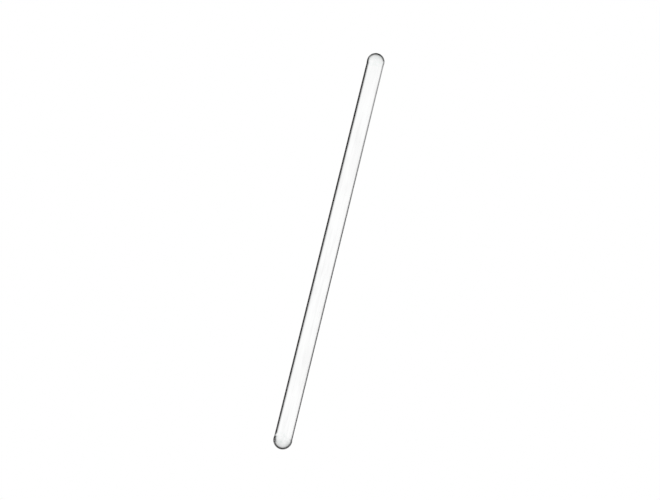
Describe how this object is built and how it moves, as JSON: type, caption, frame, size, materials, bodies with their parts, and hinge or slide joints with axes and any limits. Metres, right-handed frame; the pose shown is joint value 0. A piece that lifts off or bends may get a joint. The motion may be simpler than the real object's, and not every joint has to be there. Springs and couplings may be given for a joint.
{
  "type": "glass stirring rod",
  "caption": "Solid round glass rod for stirring, straight and clear, with both ends flame polished to smooth, slightly swollen domes.",
  "frame": {"origin": "on the rod's axis, at the middle of its length", "axes": "+Z along the rod's axis, towards either end, because both ends are alike; X and Y are any two directions across it"},
  "size_m": [0.0082, 0.0082, 0.2],
  "materials": {
    "glass": "clear, drawn and flame polished"
  },
  "bodies": {
    "root": {"rod": "glass"}
  },
  "joints": []
}
